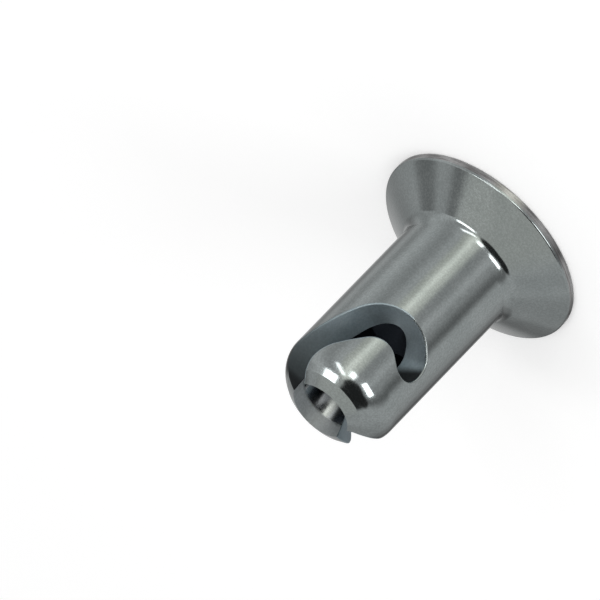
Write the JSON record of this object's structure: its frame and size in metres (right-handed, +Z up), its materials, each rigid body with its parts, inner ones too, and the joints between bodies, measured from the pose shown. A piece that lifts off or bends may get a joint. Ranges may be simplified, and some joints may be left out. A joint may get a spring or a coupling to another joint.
{
  "type": "quarter turn fastener",
  "caption": "Flush-head quarter turn stud with a countersunk slotted head, a round shank and a hollow rounded nose cut by helical cam slots that lock over a spring wire.",
  "frame": {"origin": "centre of the flat head face, which the stud stands on", "axes": "+Z up the shank's axis from the head face to the nose; the two cam slot detents lie on +Y and -Y"},
  "size_m": [0.0198, 0.0198, 0.0232],
  "materials": {
    "zinc_plated_steel": "satin zinc plate"
  },
  "bodies": {
    "root": {"stud": "zinc_plated_steel"}
  },
  "joints": []
}
